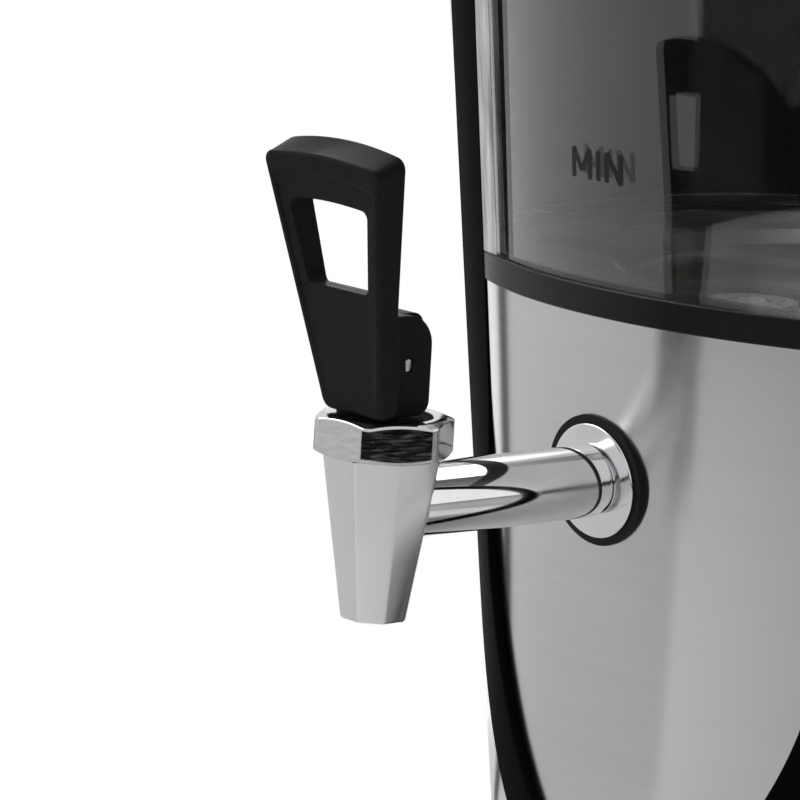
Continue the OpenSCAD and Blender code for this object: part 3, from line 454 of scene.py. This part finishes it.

# Seal in the corner between the trim and the glass; its pale, streaked colour is painted reflection. Its
# section is (distance from the trim, height)

SEAL_SECTION = [(0.05, -0.97), (-7.6, -0.95), (-7.2, -0.75), (-3.5, -0.2), (-0.8, 0.2), (0.05, 0.25)]
SEAL_LOW = RING_TOP + 0.02
SEAL_LENGTH = SHELL_TOP - 1.5 - RING_TOP
SEAL_STEPS = 30
for side_name, sign in (("left", 1), ("right", -1)):
    rows = []
    for i in range(SEAL_STEPS + 1):
        z = SEAL_LOW + SEAL_LENGTH * i / SEAL_STEPS
        edge = -(WINDOW_HALF + (z - BEND_Z) * WINDOW_LEAN)
        rows.append([on_front((edge - s) * sign, z, h) for s, h in SEAL_SECTION])
    points, faces = bridge(rows, closed=False)
    seal = mesh_object("window_seal_" + side_name, points, faces)
    belongs(seal, "silicone", SEAL_PAINTED_REFLECTION)

# Tap: eight-sided spout, pipe, flange


def polygon_loop(sides, r, z, soft):
    """A regular polygon with its corners rounded, as a loop of points about the tap's stem."""
    angles = [2 * math.pi * (i + 0.5) / sides for i in range(sides)]
    flat = [(r * math.cos(a), r * math.sin(a)) for a in angles]
    return [(x, y - TAP_Y, z) for x, y in round_profile(flat, soft, 3)]


def circle_loop(r, z, like):
    """A circle whose points lie in the same directions as those of another loop."""
    out = []
    for x, y, _ in like:
        a = math.atan2(y + TAP_Y, x)
        out.append((r * math.cos(a), r * math.sin(a) - TAP_Y, z))
    return out


SPOUT_SIDES = 8
SPOUT_LOW = 124.0
SPOUT_H = NUT_LOW - SPOUT_LOW
SPOUT_LOW_R = 8.4
SPOUT_TOP_R = 15.1
SPOUT_EDGE = 0.9
OUTLET_R = 5.2
spout_loops = []
for up, grow in ((0.0, -0.8), (0.25, -0.3), (0.8, 0.0), (SPOUT_H, 0.0)):
    r = SPOUT_LOW_R + (SPOUT_TOP_R - SPOUT_LOW_R) * up / SPOUT_H + grow
    spout_loops.append(polygon_loop(SPOUT_SIDES, r, SPOUT_LOW + up, SPOUT_EDGE))
for up, grow in ((SPOUT_H, 0.0), (0.3, 0.0), (0.0, 0.3)):
    spout_loops.append(circle_loop(OUTLET_R + grow, SPOUT_LOW + up, spout_loops[0]))
points, faces = bridge(spout_loops)
spout = mesh_object("tap_spout", points, faces, smooth=25.0)
stand_for(spout, "tap_spout", SATIN)

GASKET_T = 0.7
FLANGE_T = 0.9
FLANGE_R = 14.6
FLANGE_BORE = 8.15
PIPE_R = 9.1
TAIL_R = 8.0
HOSE_END_R = 6.5
TAIL_BORE = 4.5
TAIL_END = 85.16
HOSE_END = TAIL_END + 16.0
SHOULDER = wall_r(TAP_Z) + GASKET_T + FLANGE_T + PIPE_R * SLOPE + 0.4
PIPE_END = TAP_Y - 8.0
along_y = Matrix.Translation((0, 0, TAP_Z)) @ Matrix.Rotation(math.pi / 2, 4, "X")
pipe = lathe("pipe_tube", round_profile([
    (TAIL_BORE, TAIL_END), (HOSE_END_R, TAIL_END), (HOSE_END_R, HOSE_END), (TAIL_R, HOSE_END),
    (TAIL_R, SHOULDER), (PIPE_R, SHOULDER), (PIPE_R, PIPE_END), (TAIL_BORE, PIPE_END)],
    [0, 0.3, 0, 0.4, 0, 0.6, 0, 0]), 128, along_y)
stand_for(pipe, "tap_pipe")

square_to_wall = Matrix.Rotation(math.atan(SLOPE) + math.pi / 2, 4, "X")
on_wall = Matrix.Translation((0, -wall_r(TAP_Z), TAP_Z)) @ square_to_wall
FLANGE_FACE = GASKET_T + FLANGE_T
flange = lathe("flange_disc", round_profile([
    (FLANGE_BORE, GASKET_T), (FLANGE_R, GASKET_T), (FLANGE_R, FLANGE_FACE), (FLANGE_BORE, FLANGE_FACE)],
    [0, 0.15, 0.4, 0.2]), 160, on_wall)
stand_for(flange, "tap_flange", SATIN)

# Bonnet nut, bevelled at both ends

NUT_FLAT = 15.4
NUT_FACE = 15.0
NUT_BORE = 11.55
NUT_TURN = math.radians(4.7)
BEVEL = 1.4 / 3.4
CORNER_SOFT = 0.5
CORNER_SPAN = 0.09
NUT_SEGMENTS = 360


def nut_r(angle):
    """Radius of the nut in a direction about the stem, with its six corners softened."""
    sixth = math.pi / 6
    off = (angle - math.pi / 2 - NUT_TURN + sixth) % (2 * sixth) - sixth
    corner = NUT_FLAT / math.cos(sixth)
    worn = max(0.0, 1 - (sixth - abs(off)) / CORNER_SPAN) ** 2 * (corner - NUT_FLAT) / 2
    return NUT_FLAT / math.cos(off) - CORNER_SOFT * worn


nut_rows = []
for i in range(NUT_SEGMENTS):
    angle = 2 * math.pi * i / NUT_SEGMENTS
    r = nut_r(angle)
    drop = (r - NUT_FACE) * BEVEL
    end = [(NUT_FACE - 0.3, 0.0), (NUT_FACE + 0.02, 0.1), (r - 0.25, drop - 0.05), (r - 0.06, drop + 0.15),
           (r, drop + 0.5), (r, drop + 0.8)]
    row = [(NUT_BORE, NUT_TOP - 0.3), (NUT_BORE + 0.35, NUT_TOP)]
    row += [(q, NUT_TOP - depth) for q, depth in end]
    row += [(q, NUT_LOW + depth) for q, depth in reversed(end)]
    row.append((NUT_BORE, NUT_LOW))
    nut_rows.append([(q * math.cos(angle), q * math.sin(angle) - TAP_Y, z) for q, z in row])
points, faces = bridge(nut_rows)
nut = mesh_object("tap_nut", points, faces, smooth=22.0)
stand_for(nut, "bonnet_nut", NUT_CHROME)

# Lever: plate with a raised border and a window, and a lobe of two cheeks behind it.
# Its points are x across, u to the back and w up, from the middle of the pin.

LEVER_LOW = -12.5
LEVER_TOP = 49.0
LOW_HALF = 10.8
TOP_HALF = 21.6
TOE = 10.6
LEVER_LEAN = math.tan(math.radians(13.2))
LOBE_TOP = 12.0
LOBE_BACK = 7.1
BACK_KNOTS = [(51.2, -16.0), (LOBE_TOP, -10.0), (1.5, -6.6), (LEVER_LOW, -5.2)]
OPENING_LOW = 18.5
OPENING_TOP = 38.5
OPENING_BORDER = 5.5
OPENING_CORNER = 1.6
OPENING_ARCH = 0.8
BORDER_FADE = 30.0
FRONT_ARCH = 1.7
BACK_ARCH = 2.2


def rounded_quad(low, high, half_low, half_high, r_low, r_high, arch):
    """A four-sided outline with rounded corners and an arched top, as points (x, w)."""
    edge, arc = 12, 6
    corners = [(-half_low, low), (half_low, low), (half_high, high), (-half_high, high)]
    flat = round_profile(corners, [r_low, r_low, r_high, r_high], arc)
    n = arc + 1
    out = []
    for c in range(4):
        out += flat[c * n:(c + 1) * n]
        a, b = flat[(c + 1) * n - 1], flat[(c + 1) % 4 * n]
        out += [(a[0] + (b[0] - a[0]) * k / edge, a[1] + (b[1] - a[1]) * k / edge) for k in range(1, edge)]
    arched = []
    for x, w in out:
        share = max(0.0, (w - low) / (high - low))
        arched.append((x, w + arch * share ** 6 * (1 - (x / half_high) ** 2)))
    return arched


def lever_half(w):
    """Half of the plate's width at a height."""
    return LOW_HALF + (TOP_HALF - LOW_HALF) * (w - LEVER_LOW) / (LEVER_TOP - LEVER_LOW)


def front_u(w):
    """Where the plate's front lies at a height."""
    return -TOE - (w - LEVER_LOW) * LEVER_LEAN


def back_u(w):
    """Where the plate's back lies at a height, straight between its knots."""
    spans = list(zip(BACK_KNOTS, BACK_KNOTS[1:]))
    (high, far), (low, near) = next((span for span in spans if w >= span[1][0]), spans[-1])
    return near + (far - near) * (w - low) / (high - low)


def from_pin(x, u, w):
    return (x, u - TAP_Y, w + PIN_Z)


def lever_loop(flat, depth, back, fade=0.0):
    """An outline laid at a depth behind the plate's front or, where that is None, ahead of its back.
    fade lets the depth run out towards the foot."""
    out = []
    for x, w in flat:
        share = min(1.0, max(0.0, (w - LEVER_LOW) / fade)) if fade else 1.0
        out.append(from_pin(x, back_u(w) - back if depth is None else front_u(w) + depth * share, w))
    return out


def plate_loop(inset, depth=None, back=None, lift=0.0, arch=FRONT_ARCH, top=0.0, fade=0.0):
    """A loop of the plate's outline, inset sideways. lift raises its top, and top widens the border there."""
    low, high = LEVER_LOW + inset, LEVER_TOP - inset - top + lift
    flat = rounded_quad(low, high, lever_half(low) - inset, lever_half(high - lift) - inset,
                        max(0.6, 3.0 - inset), max(0.8, 2.2 - inset * 0.3) + top * 0.4, arch)
    return lever_loop(flat, depth, back, fade)


def opening_loop(grow, depth=None, back=None):
    """A loop of the outline of the plate's window, grown sideways."""
    low, high = OPENING_LOW - grow, OPENING_TOP + grow
    border = OPENING_BORDER - grow
    flat = rounded_quad(low, high, lever_half(low) - border, lever_half(high) - border,
                        OPENING_CORNER, OPENING_CORNER, OPENING_ARCH)
    return lever_loop(flat, depth, back)


points, faces = bridge([
    plate_loop(1.3, back=0.0, lift=3.0, arch=BACK_ARCH),
    plate_loop(0.5, back=0.25, lift=3.0, arch=BACK_ARCH),
    plate_loop(0.1, back=0.8, lift=2.8, arch=BACK_ARCH),
    plate_loop(0.0, back=1.6, lift=2.5, arch=BACK_ARCH),
    plate_loop(0.0, depth=1.8),
    plate_loop(0.08, depth=1.1),
    plate_loop(0.35, depth=0.45),
    plate_loop(0.8, depth=0.1),
    plate_loop(1.3, depth=0.0),
    plate_loop(1.9, depth=0.0, top=2.4),
    plate_loop(2.15, depth=0.15, top=2.6, fade=BORDER_FADE),
    plate_loop(2.5, depth=0.6, top=2.8, fade=BORDER_FADE),
    plate_loop(2.8, depth=0.7, top=2.9, fade=BORDER_FADE),
    opening_loop(0.7, depth=0.7),
    opening_loop(0.2, depth=0.9),
    opening_loop(0.0, depth=1.5),
    opening_loop(0.0, back=1.0),
    opening_loop(0.3, back=0.2),
    opening_loop(0.9, back=0.0)])
lever = mesh_object("lever_plate", points, faces, "lever", 28.0)


def cut_slot(obj, outline, half):
    """Takes a slot out of a piece: a side outline, as points (u, w), as wide as twice half."""
    points, faces = bridge([[from_pin(x, u, w) for u, w in outline] for x in (-half, half)], closed=False)
    tool = new_object("slot_tool", new_mesh("slot_tool", points, faces))
    cut = obj.modifiers.new("slot", "BOOLEAN")
    cut.operation, cut.solver, cut.object = "DIFFERENCE", "EXACT", tool
    result = bpy.data.meshes.new_from_object(obj.evaluated_get(bpy.context.evaluated_depsgraph_get()))
    obj.modifiers.clear()
    obj.data = result
    bpy.data.objects.remove(tool)


# Room for the stem's head, which swings forward inside the lever as the lever tilts
SLOT_D = 2.6
SLOT_HALF = 3.5
SLOT_TOP = 4.0
SLOT_LOW = -20.0
TILT = math.radians(28)
cut_slot(lever, [
    (SLOT_D, SLOT_TOP), (SLOT_D, SLOT_LOW),
    (-(SLOT_D - SLOT_LOW * math.sin(TILT)) / math.cos(TILT), SLOT_LOW),
    (-SLOT_D * math.cos(TILT), SLOT_D * math.sin(TILT)), (-SLOT_D, SLOT_TOP)], SLOT_HALF)
stand_for(lever, "tap_lever")


def slab(name, outline, x_low, x_high, soft, hole=0.0):
    """A side outline, as points (u, w), made thick across X with its edges rounded, and with a hole
    for the pin where its radius is given."""
    steps = 4
    rows = []
    for k in range(steps + 1):
        a = math.pi / 2 * k / steps
        rows.append((x_low + soft * (1 - math.cos(a)), soft * (1 - math.sin(a))))
    rows += [(x_low + x_high - x, pull) for x, pull in reversed(rows)]
    flat = [Vector(p) for p in outline]
    centre = sum(flat, Vector((0, 0))) / len(flat)
    loops = []
    for x, pull in rows:
        drawn_in = [centre + (p - centre) * (1 - pull / (p - centre).length) for p in flat]
        loops.append([from_pin(x, q.x, q.y) for q in drawn_in])
    for x in (x_high, x_low) if hole else ():
        loops.append([from_pin(x, q.x, q.y) for q in (p.normalized() * hole for p in flat)])
    points, faces = bridge(loops, closed=bool(hole))
    belongs(mesh_object(name, points, faces, "lever", 30.0), "lever_plastic")


CHEEK_IN = 3.4
CHEEK_OUT = 7.75
CHEEK_EDGE = 0.6
PIN_HOLE = 1.75
lobe = round_profile([
    (-8.5, LEVER_LOW), (-11.6, LOBE_TOP), (LOBE_BACK, LOBE_TOP), (LOBE_BACK, LEVER_LOW)],
    [0.5, 0.5, 7.5, 3.5], 10)
slab("lever_cheek_right", lobe, CHEEK_IN, CHEEK_OUT, CHEEK_EDGE, PIN_HOLE)
slab("lever_cheek_left", lobe, -CHEEK_OUT, -CHEEK_IN, CHEEK_EDGE, PIN_HOLE)
MIDDLE_LOW = 5.4
MIDDLE_HALF = CHEEK_IN + 0.5
middle = round_profile([
    (-10.4, MIDDLE_LOW), (-11.4, LOBE_TOP), (LOBE_BACK, LOBE_TOP), (LOBE_BACK, MIDDLE_LOW)],
    [0.3, 0.4, 7.4, 0.3], 10)
slab("lever_lobe_middle", middle, -MIDDLE_HALF, MIDDLE_HALF, 0.02)

# Level mark printed on the glass: each letter has a width and strokes, on a grid ten units high

MARK_LEFT = -7.2
MARK_LOW = 227.8
MARK_SCALE = 0.74
STROKE = 2.1
STROKE_STEPS = 8
LETTER_GAP = 4.0
PRINT_LIFT = 0.04
LETTERS = {
    "M": (8.0, [((0, 0), (0, 10)), ((0, 10), (4.0, 2.6)), ((4.0, 2.6), (8.0, 10)), ((8.0, 10), (8.0, 0))]),
    "I": (0.0, [((0, 0), (0, 10))]),
    "N": (6.6, [((0, 0), (0, 10)), ((0, 10), (6.6, 0)), ((6.6, 0), (6.6, 10))])}


def mark_point(x, z):
    """A point of the grid laid round the glass."""
    height = MARK_LOW + z * MARK_SCALE
    r = wall_r(height) - GLASS_SET + PRINT_LIFT
    a = (MARK_LEFT + x * MARK_SCALE) / r
    return (r * math.sin(a), -r * math.cos(a), height)


points, faces = [], []
pen = 0.0
for letter in "MIN":
    width, strokes = LETTERS[letter]
    for start, end in strokes:
        start, end = Vector(start), Vector(end)
        d = (end - start).normalized() * STROKE / 2
        side = Vector((-d.y, d.x))
        for k in range(STROKE_STEPS + 1):
            middle = start + (end - start) * k / STROKE_STEPS
            points += [mark_point(pen + q.x, q.y) for q in (middle - side, middle + side)]
            if k:
                b = len(points) - 4
                faces.append((b, b + 1, b + 3, b + 2))
    pen += width + LETTER_GAP
mark = mesh_object("level_mark", points, faces, smooth=0)
belongs(mark, "black_plastic", MARK)

# Studio: floor, cards, world and lamps, in metres


def stage_mesh(name, points, faces, mat):
    mesh = bpy.data.meshes.new(name)
    mesh.from_pydata(points, [], faces)
    obj = new_object(name, mesh)
    obj.data.materials.append(mat)
    return obj


def background_rays(nodes, links):
    """One for rays that show the background: from the camera, off metal, and through glass."""
    path = nodes.new("ShaderNodeLightPath")
    value = path.outputs["Is Camera Ray"]
    for name in ("Is Glossy Ray", "Is Transmission Ray"):
        most = nodes.new("ShaderNodeMath")
        most.operation = "MAXIMUM"
        links.new(value, most.inputs[0])
        links.new(path.outputs[name], most.inputs[1])
        value = most.outputs["Value"]
    return value


def floor_material(near, far):
    """Pale, with the object's shadow, out to near, and going over to plain white for the camera at far."""
    mat, nodes, links, bsdf = new_material("floor_pale")
    bsdf.inputs["Base Color"].default_value = (0.82, 0.82, 0.82, 1)
    bsdf.inputs["Roughness"].default_value = 0.9
    bsdf.inputs["Specular IOR Level"].default_value = 0.0
    coord = nodes.new("ShaderNodeTexCoord")
    length = nodes.new("ShaderNodeVectorMath")
    length.operation = "LENGTH"
    links.new(coord.outputs["Object"], length.inputs[0])
    reach = nodes.new("ShaderNodeMapRange")
    reach.interpolation_type = "SMOOTHSTEP"
    reach.inputs["From Min"].default_value = near
    reach.inputs["From Max"].default_value = far
    links.new(length.outputs["Value"], reach.inputs["Value"])
    share = nodes.new("ShaderNodeMath")
    share.operation = "MULTIPLY"
    links.new(reach.outputs["Result"], share.inputs[0])
    links.new(background_rays(nodes, links), share.inputs[1])
    glow = nodes.new("ShaderNodeEmission")
    glow.inputs["Color"].default_value = (1, 1, 1, 1)
    glow.inputs["Strength"].default_value = 1.0
    blend_shaders(nodes, links, share.outputs["Value"], bsdf.outputs["BSDF"], glow.outputs["Emission"],
                  "Material Output")
    return mat


FLOOR_HALF = 6
floor_corners = [(x * FLOOR_HALF, y * FLOOR_HALF, 0) for x, y in ((-1, -1), (1, -1), (1, 1), (-1, 1))]
stage_mesh("studio_floor", floor_corners, [(0, 1, 2, 3)], floor_material(0.13, 0.24))


def floor_card(name, low, high, near, far, shade, glow=0.0, lift=0.004):
    """A flat card on the floor, a sector about the body from low to high, in degrees from the tap,
    and from near to far, that metal and glass mirror."""
    mat, _, _, bsdf = new_material(name)
    bsdf.inputs["Base Color"].default_value = (shade, shade, shade, 1)
    bsdf.inputs["Roughness"].default_value = 1.0
    bsdf.inputs["Specular IOR Level"].default_value = 0.0
    bsdf.inputs["Emission Color"].default_value = (1, 1, 1, 1)
    bsdf.inputs["Emission Strength"].default_value = glow
    steps = 32
    points, faces = [], []
    for i in range(steps + 1):
        a = math.radians(low + (high - low) * i / steps)
        points += [(r * math.sin(a), -r * math.cos(a), lift) for r in (near, far)]
        if i:
            b = len(points) - 4
            faces.append((b, b + 1, b + 3, b + 2))
    card = stage_mesh(name, points, faces, mat)
    card.visible_camera = False
    card.visible_shadow = False


floor_card("studio_card_grey", 0, 360, 0.20, 2.6, 0.72, lift=0.002)
floor_card("studio_card_dark", -13, 100, 0.74, 2.5, 0.01)
floor_card("studio_card_left", -81, -13, 0.20, 2.5, 0.68, glow=0.04)
floor_card("studio_card_near", -20, 110, 0.20, 0.62, 0.85, glow=0.17, lift=0.003)
floor_card("studio_card_gap", -88, -81.5, 0.20, 2.5, 0.01)
floor_card("studio_card_edge", -140, -89, 0.30, 2.5, 0.5, glow=0.75)

# The world lights the object softly, and is white where it is seen
world = bpy.data.worlds.new("studio_world")
bpy.context.scene.world = world
world.use_nodes = True
nodes, links = world.node_tree.nodes, world.node_tree.links
soft = nodes["Background"]
soft.inputs["Color"].default_value = (0.9, 0.9, 0.9, 1)
soft.inputs["Strength"].default_value = 0.22
white = nodes.new("ShaderNodeBackground")
white.inputs["Color"].default_value = (1, 1, 1, 1)
white.inputs["Strength"].default_value = 1.0
blend_shaders(nodes, links, background_rays(nodes, links), soft.outputs["Background"],
              white.outputs["Background"], "World Output")


def area_light(name, place, aim, side, watts):
    """A square lamp at a place, turned towards another."""
    data = bpy.data.lights.new(name, "AREA")
    data.shape = "SQUARE"
    data.size = side
    data.energy = watts
    obj = new_object(name, data)
    obj.location = place
    obj.rotation_euler = (Vector(aim) - Vector(place)).to_track_quat("-Z", "Y").to_euler()
    obj.visible_camera = False


area_light("key_left", (-1.2, -0.9, 1.5), (-0.5, -0.3, 0.0), 1.4, 26)
area_light("tank_top", (0, -0.02, 0.318), (0, -0.02, 0.2), 0.14, 0.13)
area_light("back_left", (-1.2, 1.2, 1.4), (-0.6, 0.4, 0.0), 1.4, 30)

# Camera: its direction from the tap, in degrees, its distance from the target and its shift there, in metres

AZIMUTH = math.radians(48.88)
ELEVATION = math.radians(10.10)
ROLL = math.radians(3.32)
DISTANCE = 1.22419
SHIFT_RIGHT = -0.02249
SHIFT_UP = 0.02239
TARGET = Vector((0, -0.150, TAP_Z * MM))
toward_eye = Vector((math.sin(AZIMUTH) * math.cos(ELEVATION), -math.cos(AZIMUTH) * math.cos(ELEVATION),
                     math.sin(ELEVATION)))
level = Vector((math.cos(AZIMUTH), math.sin(AZIMUTH), 0))
upright = toward_eye.cross(level)
right = level * math.cos(ROLL) + upright * math.sin(ROLL)
up = upright * math.cos(ROLL) - level * math.sin(ROLL)
eye = TARGET + toward_eye * DISTANCE + right * SHIFT_RIGHT + up * SHIFT_UP
cam_data = bpy.data.cameras.new("photo_camera")
cam_data.sensor_width = 36
cam_data.lens = 225
cam_data.clip_start, cam_data.clip_end = 0.05, 50
cam = new_object("photo_camera", cam_data)
cam.matrix_world = Matrix.Translation(eye) @ Matrix((right, up, toward_eye)).transposed().to_4x4()
bpy.context.scene.camera = cam
bpy.context.scene.view_settings.view_transform = "Standard"
